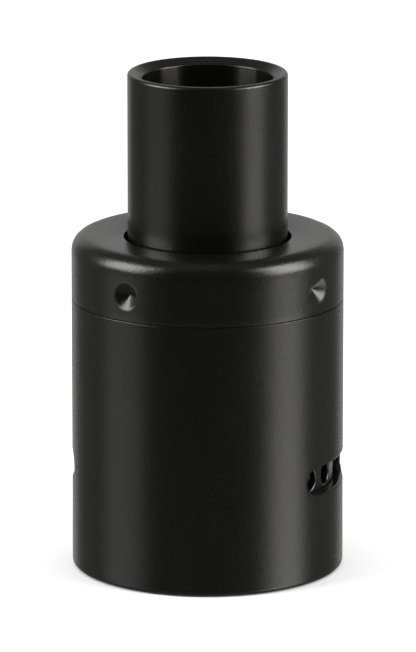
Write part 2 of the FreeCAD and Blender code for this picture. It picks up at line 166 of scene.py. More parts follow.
# Deck and connector
DECK_R = 10.13
FLANGE_R = 10.45
FLANGE_TOP_Z = 0.9
DECK_LEDGE_Z = 5.4
WELL_WALL_R = 8.95
WELL_R = 8.3
WELL_TOP_Z = 7.0
WELL_FLOOR_Z = 3.4
WELL_FLOOR_ROUND = 0.5
RELIEF_INNER_R = 6.4
RELIEF_OUTER_R = 7.0
RELIEF_DEPTH = 0.2
NIPPLE_BORE_R = 2.4
NIPPLE_BORE_ROUND = 0.1
NIPPLE_LOW_Z = -4.6
NIPPLE_CHAMFER = 0.3
STUB_BORE_R = 1.75
STUB_SHOULDER_Z = -1.2

# Connector's thread, whose section is (rise from root to crest, height in pitches)
THREAD_ROOT_R = 3.2
THREAD_CREST_R = 3.5
THREAD_PITCH = 0.5
THREAD_MARGIN = 0.1
THREAD_SECTION = ((-0.05, -0.46), (1.0, -0.07), (1.0, 0.07), (-0.05, 0.46), (-0.2, 0.0))
THREAD_STEPS = 96

# Countersunk seat of the post's screw, its cone as (radius, depth)
SEAT_ANGLE = 90
SEAT_Y = 4.75
SEAT_R = 1.13
SEAT_CONE = ((1.13, 0.15), (0.62, 0.66))
SEAT_PATCH = Patch(1.25, 14, 15)

# Wicks: the corners of one half's route, and the lumps and the fluff of the core
WICK_ROUTE = ((6.2, 0.0, 8.6), (6.2, 4.1, 8.6), (5.0, 4.1, 6.4), (5.0, 4.1, 3.5))
WICK_BENDS = (1.4, 2.2)
WICK_R = 1.27
WICK_STATION = 0.12
WICK_SIDES = 56
WICK_SEEDS = {1: 7, -1: 8}
WICK_NOISE_R = 2.4
WICK_NOISE_STEP = 0.05
WICK_NOISE_START = 10
WICK_LUMP = 0.03
WICK_FINE_LUMP = 0.02
WICK_FINE_SCALE = 4
WICK_FLUFF = 0.05
WICK_FLUFF_FROM = 0.5

# Loose strands on the wicks. Their lengths are in stations and their lifts in millimetres
STRANDS = 90
STRAND_R = 0.022
STRAND_SIDES = 5
STRAND_LENGTHS = (26, 90)
STRAND_LAST_START = 30
STRAND_STRIDE = 3
STRAND_DRIFT = 0.012
STRAND_LIFTS = (-0.02, 0.05)
STRAND_LIFT_SHARE = 0.3
STRAND_WAVES = (0.02, 0.10)
STRAND_WAVE_RATE = 0.21

# Floor, in rings of these radii, the first of them the hole for the connector
FLOOR_RADII = (3.7, 40.0, 400.0, 3000.0, 20000.0)
FLOOR_COLUMNS = 96

# Lights. Azimuths are counted from the camera's, to the right
LIGHT_AIM_Z = 24.0
PANEL_DISTANCE = 500
PANELS = (
    Panel("right_softbox", (73, 0), (73, 42), 290, 8.7),
    Panel("left_softbox", (-78, 8), (-78, 45), 320, 8.2),
    Panel("right_low", (71, -50), (71, -12), 250, 2.7),
    Panel("left_low", (-77, -40), (-77, -12), 300, 0.75),
    Panel("back", (180, -28), (180, 28), 560, 0.4),
)
SKY_STRENGTH = 3.0
SKY_SPREAD = 90
WORLD_STRENGTH = 0.17

# Black screen round the camera
SCREEN_AZIMUTHS = (-50, 42)
SCREEN_HEIGHTS = (-190, 900)
SCREEN_DISTANCE = 650
SCREEN_STEPS = 24
SCREEN_COLOUR = (0.002, 0.002, 0.002, 1.0)


# ---------------------------------------------------------------- mesh building

class Shape:
    """Vertices and faces gathered in millimetres, and made into one mesh object at the end."""

    def __init__(self):
        self.verts = []
        self.faces = []

    def add(self, point):
        """Adds a vertex and returns its number."""
        self.verts.append(tuple(point))
        return len(self.verts) - 1

    def bridge(self, ring_a, ring_b):
        """Quads between two closed rings of as many vertices."""
        count = len(ring_a)
        for k in range(count):
            n = (k + 1) % count
            self.faces.append((ring_a[k], ring_a[n], ring_b[n], ring_b[k]))

    def fan(self, ring, centre):
        """Triangles from a closed ring to one vertex."""
        count = len(ring)
        for k in range(count):
            self.faces.append((ring[k], ring[(k + 1) % count], centre))

    def make(self, name, material):
        """The shape as an object, without its loose vertices, smooth and with its normals outward."""
        mesh = bpy.data.meshes.new(name)
        mesh.from_pydata([(x * MM, y * MM, z * MM) for x, y, z in self.verts], [], self.faces)
        bm = bmesh.new()
        bm.from_mesh(mesh)
        bmesh.ops.delete(bm, geom=[v for v in bm.verts if not v.link_faces], context="VERTS")
        bmesh.ops.recalc_face_normals(bm, faces=bm.faces)
        bm.to_mesh(mesh)
        bm.free()
        mesh.shade_smooth()
        mesh.materials.append(material)
        obj = bpy.data.objects.new(name, mesh)
        bpy.context.scene.collection.objects.link(obj)
        weighted = obj.modifiers.new("weighted_normal", "WEIGHTED_NORMAL")
        weighted.keep_sharp = True
        return obj


def round_corner(before, corner, after, radius):
    """The points of an arc that rounds a corner, tangent to both of its runs, in 2-D or 3-D."""
    before, corner, after = (np.array(p, float) for p in (before, corner, after))
    into = (corner - before) / np.linalg.norm(corner - before)
    out = (after - corner) / np.linalg.norm(after - corner)
    turn = math.acos(max(-1.0, min(1.0, float(into @ out))))
    reach = radius * math.tan(turn / 2)
    start, end = corner - into * reach, corner + out * reach
    inward = (out - into) / np.linalg.norm(out - into)
    centre = corner + inward * radius / math.cos(turn / 2)
    steps = max(2, round(ROUND_STEPS * turn / (math.pi / 2)))
    points = []
    for k in range(steps + 1):
        t = k / steps
        a = math.sin((1 - t) * turn) / math.sin(turn)
        b = math.sin(t * turn) / math.sin(turn)
        points.append(centre + (start - centre) * a + (end - centre) * b)
    return points


def round_outline(corners):
    """The points (r, z) of a closed outline whose corners are (r, z, rounding)."""
    points = []
    count = len(corners)
    for k, (r, z, rounding) in enumerate(corners):
        if rounding:
            before, after = corners[k - 1][:2], corners[(k + 1) % count][:2]
            points += [tuple(p) for p in round_corner(before, (r, z), after, rounding)]
        else:
            points.append((r, z))
    return points


class Band:
    """A stretch of an outline that gets extra rows, with the features that are cut into it.

    On a wall, at is its radius, and middle is a height. On a floor, at is its height, and middle is a
    radius. out is 1 where the solid's outside faces outward or up, and -1 where not."""

    def __init__(self, kind, at, middle, patch, out, features):
        self.kind = kind
        self.at = at
        self.middle = middle
        low, high = patch.span(middle)
        self.heights = [low + (high - low) * k / patch.rows for k in range(patch.rows + 1)]
        self.out = out
        self.features = features

    def pick(self, point):
        """(the coordinate that stays the same on this band, the one that runs along it)"""
        return point if self.kind == "wall" else (point[1], point[0])

    def insert(self, outline):
        """The outline with this band's rows added to the straight run that holds them."""
        low, high = self.heights[0], self.heights[-1]
        for k, point in enumerate(outline):
            following = outline[(k + 1) % len(outline)]
            same_a, along_a = self.pick(point)
            same_b, along_b = self.pick(following)
            on_run = abs(same_a - self.at) < NEAR and abs(same_b - self.at) < NEAR
            if on_run and min(along_a, along_b) < low and max(along_a, along_b) > high:
                values = self.heights if along_b > along_a else self.heights[::-1]
                rows = [self.pick((self.at, value)) for value in values]
                return outline[: k + 1] + rows + outline[k + 1 :]
        raise ValueError("no straight run of the outline holds this band")

    def rows_of(self, outline):
        """The rows of this band in the finished outline, from its low end to its high end."""
        found = {}
        for j, point in enumerate(outline):
            same, along = self.pick(point)
            if abs(same - self.at) < NEAR:
                for k, height in enumerate(self.heights):
                    if abs(along - height) < NEAR:
                        found[k] = j
        return [found[k] for k in range(len(self.heights))]

    def flatten(self, point, theta):
        """Where a point of this band lies, along and across it, from a feature's middle at theta."""
        x, y, z = point
        if self.kind == "wall":
            away = math.remainder(math.atan2(y, x) - theta, FULL_TURN)
            return away * self.at, z - self.middle
        cosine, sine = math.cos(theta), math.sin(theta)
        return y * cosine - x * sine, x * cosine + y * sine - self.middle

    def sink(self, s, t, depth, theta):
        """The point that lies (s, t) from a feature's middle at theta, at a depth under the band."""
        level, across = self.at - self.out * depth, self.middle + t
        if self.kind == "wall":
            angle = theta + s / self.at
            return level * math.cos(angle), level * math.sin(angle), across
        cosine, sine = math.cos(theta), math.sin(theta)
        return across * cosine - s * sine, across * sine + s * cosine, level


class Feature:
    """A slot, hole or dimple: where its middle is, how many columns its patch takes on each side, its
    rings as (distance from the middle line, depth), half the length of its straight middle, and
    whether a point closes its last ring."""

    def __init__(self, angle, patch, rings, half_length=0.0, closed=False):
        self.angle = angle
        self.half_columns = patch.half_columns
        self.rings = rings
        self.half_length = half_length
        self.closed = closed

    def ray(self, s, t):
        """The nearest point of the middle line to (s, t), and the unit vector from there to (s, t)."""
        middle = max(-self.half_length, min(self.half_length, s))
        length = math.hypot(s - middle, t)
        return middle, (s - middle) / length, t / length


def rounded_edge(radius, edge, steps=EDGE_STEPS):
    """The rings of a hole's rounded edge, from the surface into the hole's wall."""
    angles = [math.pi / 2 * k / steps for k in range(steps + 1)]
    return [(radius + edge * (1 - math.sin(a)), edge * (1 - math.cos(a))) for a in angles]


def dimple_rings():
    """A dimple left by a drill's conical point, with a slightly worn rim."""
    slope = 1 / math.tan(math.radians(DIMPLE_POINT_ANGLE / 2))
    first, last = DIMPLE_WALL
    shares = [first - (first - last) * k / DIMPLE_WALL_STEPS for k in range(DIMPLE_WALL_STEPS + 1)]
    rim = [(DIMPLE_R + past, depth) for past, depth in DIMPLE_RIM]
    return rim + [(DIMPLE_R * share, DIMPLE_R * (1 - share) * slope) for share in shares]


def patch_border(grid, rows, columns):
    """The grid's vertices round the border of a patch, in order."""
    border = [(rows[0], c) for c in columns]
    border += [(row, columns[-1]) for row in rows[1:]]
    border += [(rows[-1], c) for c in reversed(columns[:-1])]
    border += [(row, columns[0]) for row in reversed(rows[1:-1])]
    return [grid[j][c] for j, c in border]


def cut_patch(shape, grid, band, feature, rows):
    """Replaces a rectangle of the grid by rings that run down into the feature. Returns the last ring
    and the cells that the patch covers."""
    middle_column = round(feature.angle * COLUMNS / 360)
    first = middle_column - feature.half_columns
    last = middle_column + feature.half_columns
    columns = [c % COLUMNS for c in range(first, last + 1)]
    ring = patch_border(grid, rows, columns)
    theta = math.radians(feature.angle)
    flats = [band.flatten(shape.verts[vertex], theta) for vertex in ring]
    rays = [feature.ray(s, t) for s, t in flats]
    outermost = feature.rings[0][0]
    goals = [(middle + ds * outermost, dt * outermost) for middle, ds, dt in rays]
    levels = []
    for share in PATCH_SHARES:
        spots = [(s + (u - s) * share, t + (v - t) * share) for (s, t), (u, v) in zip(flats, goals)]
        levels.append((spots, 0.0))
    for distance, depth in feature.rings:
        levels.append(([(middle + ds * distance, dt * distance) for middle, ds, dt in rays], depth))
    for spots, depth in levels:
        moved = [shape.add(band.sink(s, t, depth, theta)) for s, t in spots]
        shape.bridge(ring, moved)
        ring = moved
    if feature.closed:
        shape.fan(ring, shape.add(band.sink(0.0, 0.0, depth, theta)))
    cells = {(j, c) for j in range(min(rows), max(rows)) for c in columns[:-1]}
    return ring, cells


def lathe(name, material, corners, bands=(), joined=()):
    """A turned piece with features. Each pair in joined names two bands whose features meet, as the
    outer and inner mouths of the same holes."""
    outline = round_outline(corners)
    for band in bands:
        outline = band.insert(outline)
    shape = Shape()
    angles = [FULL_TURN * c / COLUMNS for c in range(COLUMNS)]
    grid = [[shape.add((r * math.cos(a), r * math.sin(a), z)) for a in angles] for r, z in outline]
    covered = set()
    last_rings = []
    for band in bands:
        rows = band.rows_of(outline)
        rings = []
        for feature in band.features:
            ring, cells = cut_patch(shape, grid, band, feature, rows)
            rings.append(ring)
            covered |= cells
        last_rings.append(rings)
    for a, b in joined:
        for ring_a, ring_b in zip(last_rings[a], last_rings[b]):
            shape.bridge(ring_a, ring_b)
    for j, row in enumerate(grid):
        below = grid[(j + 1) % len(grid)]
        for c in range(COLUMNS):
            if (j, c) not in covered:
                n = (c + 1) % COLUMNS
                shape.faces.append((row[c], row[n], below[n], below[c]))
    return shape.make(name, material)


def machine(obj, material, radii, heights):
    """Gives the faces of an object that lie within these radii and heights a second material."""
    obj.data.materials.append(material)
    for face in obj.data.polygons:
        x, y, z = face.center / MM
        if radii[0] < math.hypot(x, y) < radii[1] and heights[0] < z < heights[1]:
            face.material_index = len(obj.data.materials) - 1


def groove_corners(grooves, wall_r, rounding):
    """The outline corners of grooves cut into a wall of radius wall_r, from the top one down."""
    floor_r, middles, half = grooves
    corners = []
    for z in sorted(middles, reverse=True):
        corners += [
            (wall_r, z + half, rounding),
            (floor_r, z + half, 2 * rounding),
            (floor_r, z - half, 2 * rounding),
            (wall_r, z - half, rounding),
        ]
    return corners


def round_ring(name, material, mean_r, section_r, z):
    """An O-ring with the faint mould parting line on its inside and outside."""
    shape = Shape()
    rings = []
    angles = [FULL_TURN * c / RING_COLUMNS for c in range(RING_COLUMNS)]
    for k in range(RING_SIDES):
        a = FULL_TURN * k / RING_SIDES
        swell = RING_FLASH if k % (RING_SIDES // 2) == 0 else 0.0
        r = mean_r + (section_r - RING_FLASH + swell) * math.cos(a)
        height = z + section_r * math.sin(a)
        rings.append([shape.add((r * math.cos(t), r * math.sin(t), height)) for t in angles])
    for k in range(RING_SIDES):
        shape.bridge(rings[k], rings[(k + 1) % RING_SIDES])
    return shape.make(name, material)


def resample(points, spacing):
    """Evenly spaced points along a line of points."""
    points = np.array(points, float)
    lengths = np.concatenate(([0.0], np.cumsum(np.linalg.norm(np.diff(points, axis=0), axis=1))))
    count = max(2, round(lengths[-1] / spacing))
    wanted = np.linspace(0.0, lengths[-1], count + 1)
    return np.stack([np.interp(wanted, lengths, points[:, k]) for k in range(3)], axis=1)


def rounded_route(corners, bends):
    """A line through the corners of a route, each rounded by its bend's radius."""
    points = [np.array(corners[0], float)]
    for before, corner, after, bend in zip(corners, corners[1:], corners[2:], bends):
        points += round_corner(before, corner, after, bend)
    points.append(np.array(corners[-1], float))
    return points


def cross_frames(path):
    """Two unit vectors across the path at each of its points, carried along with no twist."""
    tangents = np.gradient(path, axis=0)
    tangents /= np.linalg.norm(tangents, axis=1)[:, None]
    side = np.cross(tangents[0], (0.0, 0.0, 1.0))
    if np.linalg.norm(side) < NEARLY_UPRIGHT:
        side = np.cross(tangents[0], (1.0, 0.0, 0.0))
    frames = []
    for tangent in tangents:
        side = side - tangent * (side @ tangent)
        side /= np.linalg.norm(side)
        frames.append((side, np.cross(tangent, side)))
    return frames


def tube(shape, path, radius_at, sides):
    """A closed tube along a path. radius_at gives the radius at (station, angle)."""
    rings = []
    for k, (point, (across, up)) in enumerate(zip(path, cross_frames(path))):
        ring = []
        for c in range(sides):
            a = FULL_TURN * c / sides
            r = radius_at(k, a)
            ring.append(shape.add(point + across * (r * math.cos(a)) + up * (r * math.sin(a))))
        rings.append(ring)
    for ring, following in zip(rings, rings[1:]):
        shape.bridge(ring, following)
    shape.fan(rings[0], shape.add(path[0]))
    shape.fan(rings[-1], shape.add(path[-1]))


def thread(name, material, low_z, high_z):
    """The ridge of a right-hand thread, which fades in and out over half a turn at its ends."""
    shape = Shape()
    turns = (high_z - low_z) / THREAD_PITCH - 1.0
    stations = round(turns * THREAD_STEPS)
    half_turn = THREAD_STEPS / 2
    rings = []
    for k in range(stations + 1):
        fade = min(1.0, k / half_turn, (stations - k) / half_turn)
        a = FULL_TURN * k / THREAD_STEPS
        middle = low_z + THREAD_PITCH * (0.5 + k / THREAD_STEPS)
        ring = []
        for rise, along in THREAD_SECTION:
            share = rise * fade if rise > 0 else rise
            r = THREAD_ROOT_R + (THREAD_CREST_R - THREAD_ROOT_R) * share
            height = middle + along * THREAD_PITCH
            ring.append(shape.add((r * math.cos(a), r * math.sin(a), height)))
        rings.append(ring)
    for ring, following in zip(rings, rings[1:]):
        shape.bridge(ring, following)
    shape.faces.append(tuple(rings[0]))
    shape.faces.append(tuple(reversed(rings[-1])))
    return shape.make(name, material)


# ---------------------------------------------------------------- materials

class Nodes:
    """Short names for the nodes of one material, all on the object's own coordinates."""

    def __init__(self, name):
        self.material = bpy.data.materials.new(name)
        self.material.use_nodes = True
        self.tree = self.material.node_tree
        self.shader = self.tree.nodes["Principled BSDF"]
        self.coordinates = self.tree.nodes.new("ShaderNodeTexCoord").outputs["Object"]

    def node(self, kind, inputs=(), **settings):
        """A new node whose inputs are linked to sockets or set to values."""
        made = self.tree.nodes.new(kind)
        for key, value in settings.items():
            setattr(made, key, value)
        for key, value in dict(inputs).items():
            if isinstance(value, bpy.types.NodeSocket):
                self.tree.links.new(value, made.inputs[key])
            else:
                made.inputs[key].default_value = value
        return made

    def noise(self, x, y, z, detail=2.0, roughness=0.5):
        """Noise with this many features per millimetre along each of the object's axes."""
        stretch = {"Vector": self.coordinates, "Scale": (x / MM, y / MM, z / MM)}
        vector = self.node("ShaderNodeMapping", stretch).outputs[0]
        settings = {"Vector": vector, "Scale": 1.0, "Detail": detail, "Roughness": roughness}
        return self.node("ShaderNodeTexNoise", settings).outputs["Fac"]

    def ranged(self, pattern, spread, values):
        """The pattern's spread (low, high) stretched to these two values, and held at them beyond."""
        settings = {"Value": pattern, 1: spread[0], 2: spread[1], 3: values[0], 4: values[1]}
        return self.node("ShaderNodeMapRange", settings).outputs[0]

    def added(self, pattern, other, share):
        """A pattern plus a share of another one."""
        settings = {0: other, 1: share, 2: pattern}
        return self.node("ShaderNodeMath", settings, operation="MULTIPLY_ADD").outputs[0]

    def link(self, socket, name):
        """Links a socket to one of the shader's inputs."""
        self.tree.links.new(socket, self.shader.inputs[name])

    def colour(self, pattern, low, high):
        """Lets a pattern vary the base colour between two colours."""
        settings = {0: pattern, 6: (*low, 1.0), 7: (*high, 1.0)}
        self.link(self.node("ShaderNodeMix", settings, data_type="RGBA").outputs[2], "Base Color")

    def roughness(self, pattern, spread, values):
        """Lets a pattern's spread vary the roughness between two values."""
        self.link(self.ranged(pattern, spread, values), "Roughness")

    def relief(self, pattern, depth_mm):
        """Lets a pattern bump the surface."""
        settings = {"Height": pattern, "Distance": depth_mm * MM}
        self.link(self.node("ShaderNodeBump", settings).outputs[0], "Normal")

    def set(self, **values):
        """Sets the shader's own inputs."""
        for name, value in values.items():
            self.shader.inputs[name.replace("_", " ")].default_value = value


def black_coating(name="black_coating", roughness=(0.21, 0.29), depth_mm=0.015):
    """Black-coated, fine bead-blasted metal: a grain of about a seventh of a millimetre, and faint
    cloudy changes of tone and gloss."""
    n = Nodes(name)
    grain = n.noise(7.0, 7.0, 7.0, roughness=0.7)
    cloud = n.noise(0.35, 0.35, 0.12, detail=3.0)
    n.colour(n.added(cloud, grain, 0.4), (0.0014, 0.0015, 0.0011), (0.0036, 0.0038, 0.0028))
    n.roughness(n.added(grain, cloud, 0.3), (0.4, 0.9), roughness)
    n.relief(grain, depth_mm)
    # The warm specular tint is painted light: it gives the reflections of the white lamps the warm
    # colour of the studio's light.
    n.set(IOR=1.5, Specular_Tint=(1.0, 0.985, 0.92, 1.0))
    return n


def machined_black():
    """The same coating on the smoother walls that a cutter or a drill has left."""
    return black_coating("machined_black", roughness=(0.14, 0.22), depth_mm=0.004)


def dimpled_black():
    """The same coating in the dimples, where the blasting has dulled the drill's marks."""
    return black_coating("dimpled_black", roughness=(0.24, 0.28), depth_mm=0.008)


def turned_bore():
    """The same coating in the drip tip's bore, whose fine turning lines run round it and stretch its
    reflections along the axis."""
    n = black_coating("turned_bore", roughness=(0.20, 0.23), depth_mm=0.002)
    tangent = n.node("ShaderNodeTangent", direction_type="RADIAL", axis="Z").outputs[0]
    n.link(tangent, "Tangent")
    n.set(Anisotropic=1.0, Anisotropic_Rotation=0.25)
    return n


def turned_steel():
    """Bright steel with the fine rings of turning and a fine grain."""
    n = Nodes("turned_steel")
    rings = n.noise(1.2, 1.2, 24.0, detail=4.0, roughness=0.7)
    fine = n.noise(14.0, 14.0, 14.0)
    n.colour(rings, (0.50, 0.50, 0.50), (0.66, 0.66, 0.65))
    n.roughness(n.added(rings, fine, 0.3), (0.3, 1.0), (0.22, 0.42))
    n.relief(n.added(rings, fine, 0.25), depth_mm=0.006)
    n.set(Metallic=1.0)
    return n


def gold_plate():
    """Gold plate over turned brass, with faint rings and slightly darker patches."""
    n = Nodes("gold_plate")
    rings = n.noise(1.0, 1.0, 20.0, detail=3.0)
    patches = n.noise(0.8, 0.8, 0.8, detail=3.0)
    n.colour(patches, (0.62, 0.40, 0.13), (0.83, 0.58, 0.22))
    n.roughness(rings, (0.3, 0.8), (0.16, 0.30))
    n.relief(rings, depth_mm=0.004)
    n.set(Metallic=1.0)
    return n


def peek_plastic():
    """Tan engineering plastic with machining marks."""
    n = Nodes("peek_plastic")
    marks = n.noise(2.0, 2.0, 12.0, detail=3.0)
    n.colour(marks, (0.42, 0.31, 0.18), (0.55, 0.43, 0.27))
    n.roughness(marks, (0.3, 0.8), (0.42, 0.58))
    n.relief(marks, depth_mm=0.006)
    n.set(Subsurface_Weight=0.08, Subsurface_Scale=0.3 * MM)
    return n


def ring_rubber():
    """Black O-ring rubber, with a soft sheen and fine specks."""
    n = Nodes("ring_rubber")
    specks = n.noise(12.0, 12.0, 12.0, detail=3.0)
    n.colour(specks, (0.010, 0.010, 0.010), (0.024, 0.024, 0.025))
    n.roughness(specks, (0.3, 0.8), (0.45, 0.62))
    n.relief(specks, depth_mm=0.008)
    return n


def heater_wire():
    """Drawn resistance wire, blued and browned unevenly by heat."""
    n = Nodes("heater_wire")
    heat = n.noise(1.1, 0.5, 1.1)
    drawn = n.noise(10.0, 2.0, 10.0)
    n.colour(n.ranged(heat, (0.35, 0.65), (0.0, 1.0)), (0.20, 0.19, 0.22), (0.42, 0.36, 0.30))
    n.roughness(drawn, (0.3, 0.8), (0.25, 0.42))
    n.relief(drawn, depth_mm=0.004)
    n.set(Metallic=1.0)
    return n


def cotton_fibre():
    """White cotton: fine fibres along the wick, whose pattern turns the white darker and warmer in
    places.
    """
    n = Nodes("cotton_fibre")
    fibres = n.noise(14.0, 2.5, 14.0, detail=4.0, roughness=0.6)
    n.colour(fibres, (0.66, 0.62, 0.54), (0.88, 0.87, 0.83))
    n.roughness(fibres, (0.2, 0.8), (0.85, 1.0))
    n.relief(fibres, depth_mm=0.05)
    n.set(Sheen_Weight=0.3, Sheen_Roughness=0.5)
    return n


def pale_floor():
    """A matt, nearly even floor."""
    n = Nodes("pale_floor")
    mottle = n.noise(0.02, 0.02, 0.02, detail=3.0)
    n.colour(mottle, (0.80, 0.80, 0.80), (0.84, 0.84, 0.84))
    n.set(Roughness=0.9)
    return n


COATING = black_coating().material
MACHINED = machined_black().material
DIMPLED = dimpled_black().material
BORE = turned_bore().material
STEEL = turned_steel().material
GOLD = gold_plate().material
PEEK = peek_plastic().material
RUBBER = ring_rubber().material
WIRE = heater_wire().material
COTTON = cotton_fibre().material


# ---------------------------------------------------------------- the pieces

def place(piece, body, slot, *nodes):
    """The piece rides on its body and stands for its CAD nodes. Its slot is not used."""
    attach(piece, body)
    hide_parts(*nodes)


def make_sleeve():
    """The body's outer tube, with its two air slots."""
    top_z = SEAM_Z - SEAM_GAP
    corners = [
        (BODY_R, top_z, NEAT_ROUND),
        (BODY_R, SLEEVE_LOW_Z, FOOT_ROUND),
        (SLEEVE_FOOT_BORE_R, SLEEVE_LOW_Z, EDGE_ROUND),
        (SLEEVE_FOOT_BORE_R, SLEEVE_STEP_Z, FINE_ROUND),
        (SLEEVE_BORE_R, SLEEVE_STEP_Z, FINE_ROUND),
        (SLEEVE_BORE_R, top_z, EDGE_ROUND),
    ]
    straight_angle = SLOT_HALF_ANGLE - math.degrees(SLOT_R / BODY_R)
    bands = []
    for radius, out, edge in ((BODY_R, 1, SLOT_EDGE), (SLEEVE_BORE_R, -1, SLOT_INNER_EDGE)):
        rings = rounded_edge(SLOT_R, edge)
        half_length = math.radians(straight_angle) * radius
        slots = [Feature(angle, SLOT_PATCH, rings, half_length) for angle in SLOT_ANGLES]
        bands.append(Band("wall", radius, SLOT_Z, SLOT_PATCH, out, slots))
    sleeve = lathe("air_sleeve_shell", COATING, corners, bands, joined=[(0, 1)])
    machine(sleeve, MACHINED, (SLEEVE_BORE_R + SKIN, BODY_R - SKIN), SLOT_PATCH.span(SLOT_Z))
    place(sleeve, "sleeve", "black_coating", "air_sleeve")


def cap_corners():
    """The top cap's outline, from its shoulder down the outside and up the inside to the socket."""
    slope = math.atan(CAP_DISH_DEPTH / (BODY_R - CAP_SHOULDER - SOCKET_R))
    corner_z = CAP_TOP_Z + CAP_SHOULDER * (math.tan(math.pi / 4 + slope / 2) - 1)
    flange = [
        (BODY_R, corner_z, CAP_SHOULDER),
        (BODY_R, SEAM_Z, NEAT_ROUND),
        (SKIRT_R, SEAM_Z, NEAT_ROUND),
    ]
    inside = [
        (SKIRT_R, SKIRT_LOW_Z, SOFT_ROUND),
        (SKIRT_BORE_R, SKIRT_LOW_Z, SOFT_ROUND),
        (SKIRT_BORE_R, CONE_LOW_Z, CONE_ROUND),
        (CHIMNEY_R, CHIMNEY_LOW_Z, CHIMNEY_ROUND),
        (CHIMNEY_R, SOCKET_FLOOR_Z, SOFT_ROUND),
        (SOCKET_R, SOCKET_FLOOR_Z, SOCKET_FLOOR_ROUND),
        (SOCKET_R, CAP_TOP_Z - CAP_DISH_DEPTH, EDGE_ROUND),
    ]
    return flange + groove_corners(CAP_GROOVE, SKIRT_R, FINE_ROUND) + inside


def make_cap():
    """The top cap, with its air holes and its grip dimples."""
    rings = rounded_edge(HOLE_R, HOLE_EDGE, SMALL_EDGE_STEPS)
    hole_angles = [
        side + FIRST_DIMPLE_ANGLE + k * HOLE_PITCH_ANGLE for side in SLOT_ANGLES for k in (-1, 0, 1)
    ]
    bands = []
    for radius, out in ((SKIRT_R, 1), (SKIRT_BORE_R, -1)):
        holes = [Feature(angle, HOLE_PATCH, rings) for angle in hole_angles]
        bands.append(Band("wall", radius, SLOT_Z, HOLE_PATCH, out, holes))
    dimple_angles = [FIRST_DIMPLE_ANGLE + DIMPLE_PITCH_ANGLE * k for k in range(DIMPLES)]
    dimples = [Feature(a, DIMPLE_PATCH, dimple_rings(), closed=True) for a in dimple_angles]
    bands.append(Band("wall", BODY_R, DIMPLE_Z, DIMPLE_PATCH, 1, dimples))
    cap = lathe("top_cap_shell", COATING, cap_corners(), bands, joined=[(0, 1)])
    machine(cap, MACHINED, (SKIRT_BORE_R + SKIN, SKIRT_R - SKIN), HOLE_PATCH.span(SLOT_Z))
    machine(cap, DIMPLED, (SKIRT_R, BODY_R - SKIN), DIMPLE_PATCH.span(DIMPLE_Z))
    place(cap, "cap", "black_coating", "top_cap")


def make_tip():
    """The drip tip, with its lip and the grooves of its two O-rings."""
    corners = [
        (TIP_BORE_R, TIP_LOW_Z, TIP_BORE_ROUND),
        (TIP_BORE_R, TIP_TOP_Z - TIP_LIP_DEPTH, SOFT_ROUND),
        (TIP_LIP_CREST_R, TIP_TOP_Z, EDGE_ROUND),
        (TIP_R, TIP_TOP_Z, TIP_LIP_ROUND),
    ]
    corners += groove_corners(TIP_GROOVES, TIP_R, NEAT_ROUND)
    corners += [(TIP_R, TIP_LOW_Z, TIP_LOW_ROUND)]
    tip = lathe("drip_tip_shell", COATING, corners)
    machine(tip, BORE, (0.0, TIP_BORE_R + SKIN), (TIP_LOW_Z, TIP_TOP_Z))
    place(tip, "tip", "black_coating", "drip_tip")


def make_rings():
    """The five O-rings, each in the middle of its groove."""
    cap_nodes = ("cap_o_ring",)
    tip_nodes = ("tip_o_ring_lower", "tip_o_ring_upper")
    deck_nodes = ("deck_o_ring_lower", "deck_o_ring_upper")
    rings = (
        ("cap_ring", "cap_seal", CAP_GROOVE, SLEEVE_BORE_R, CAP_RING_R, cap_nodes),
        ("tip_ring", "tip_seals", TIP_GROOVES, SOCKET_R, TIP_RING_R, tip_nodes),
        ("deck_ring", "deck_seals", DECK_GROOVES, SLEEVE_BORE_R, DECK_RING_R, deck_nodes),
    )
    for name, body, (floor_r, heights, _), wall_r, section_r, nodes in rings:
        for k, (z, node) in enumerate(zip(heights, nodes)):
            ring = round_ring(f"{name}_{k + 1}", RUBBER, (floor_r + wall_r) / 2, section_r, z)
            place(ring, body, "black_rubber", node)


def deck_corners():
    """The deck's outline, from the connector's bore up through the well and down the outside."""
    inside = [
        (NIPPLE_BORE_R, NIPPLE_LOW_Z, NIPPLE_BORE_ROUND),
        (NIPPLE_BORE_R, STUB_SHOULDER_Z, FINE_ROUND),
        (STUB_BORE_R, STUB_SHOULDER_Z, FINE_ROUND),
        (STUB_BORE_R, WELL_FLOOR_Z, FINE_ROUND),
        (WELL_R, WELL_FLOOR_Z, WELL_FLOOR_ROUND),
        (WELL_R, WELL_TOP_Z, SOFT_ROUND),
        (WELL_WALL_R, WELL_TOP_Z, SOFT_ROUND),
        (WELL_WALL_R, DECK_LEDGE_Z, SOFT_ROUND),
        (DECK_R, DECK_LEDGE_Z, SOFT_ROUND),
    ]
    underside = [
        (DECK_R, FLANGE_TOP_Z, NEAT_ROUND),
        (FLANGE_R, FLANGE_TOP_Z, NEAT_ROUND),
        (FLANGE_R, 0.0, SOFT_ROUND),
        (RELIEF_OUTER_R, 0.0, KEEN_ROUND),
        (RELIEF_OUTER_R, RELIEF_DEPTH, KEEN_ROUND),
        (RELIEF_INNER_R, RELIEF_DEPTH, KEEN_ROUND),
        (RELIEF_INNER_R, 0.0, KEEN_ROUND),
        (THREAD_ROOT_R, 0.0, KEEN_ROUND),
        (THREAD_ROOT_R, NIPPLE_LOW_Z, NIPPLE_CHAMFER),
    ]
    return inside + groove_corners(DECK_GROOVES, DECK_R, FINE_ROUND) + underside


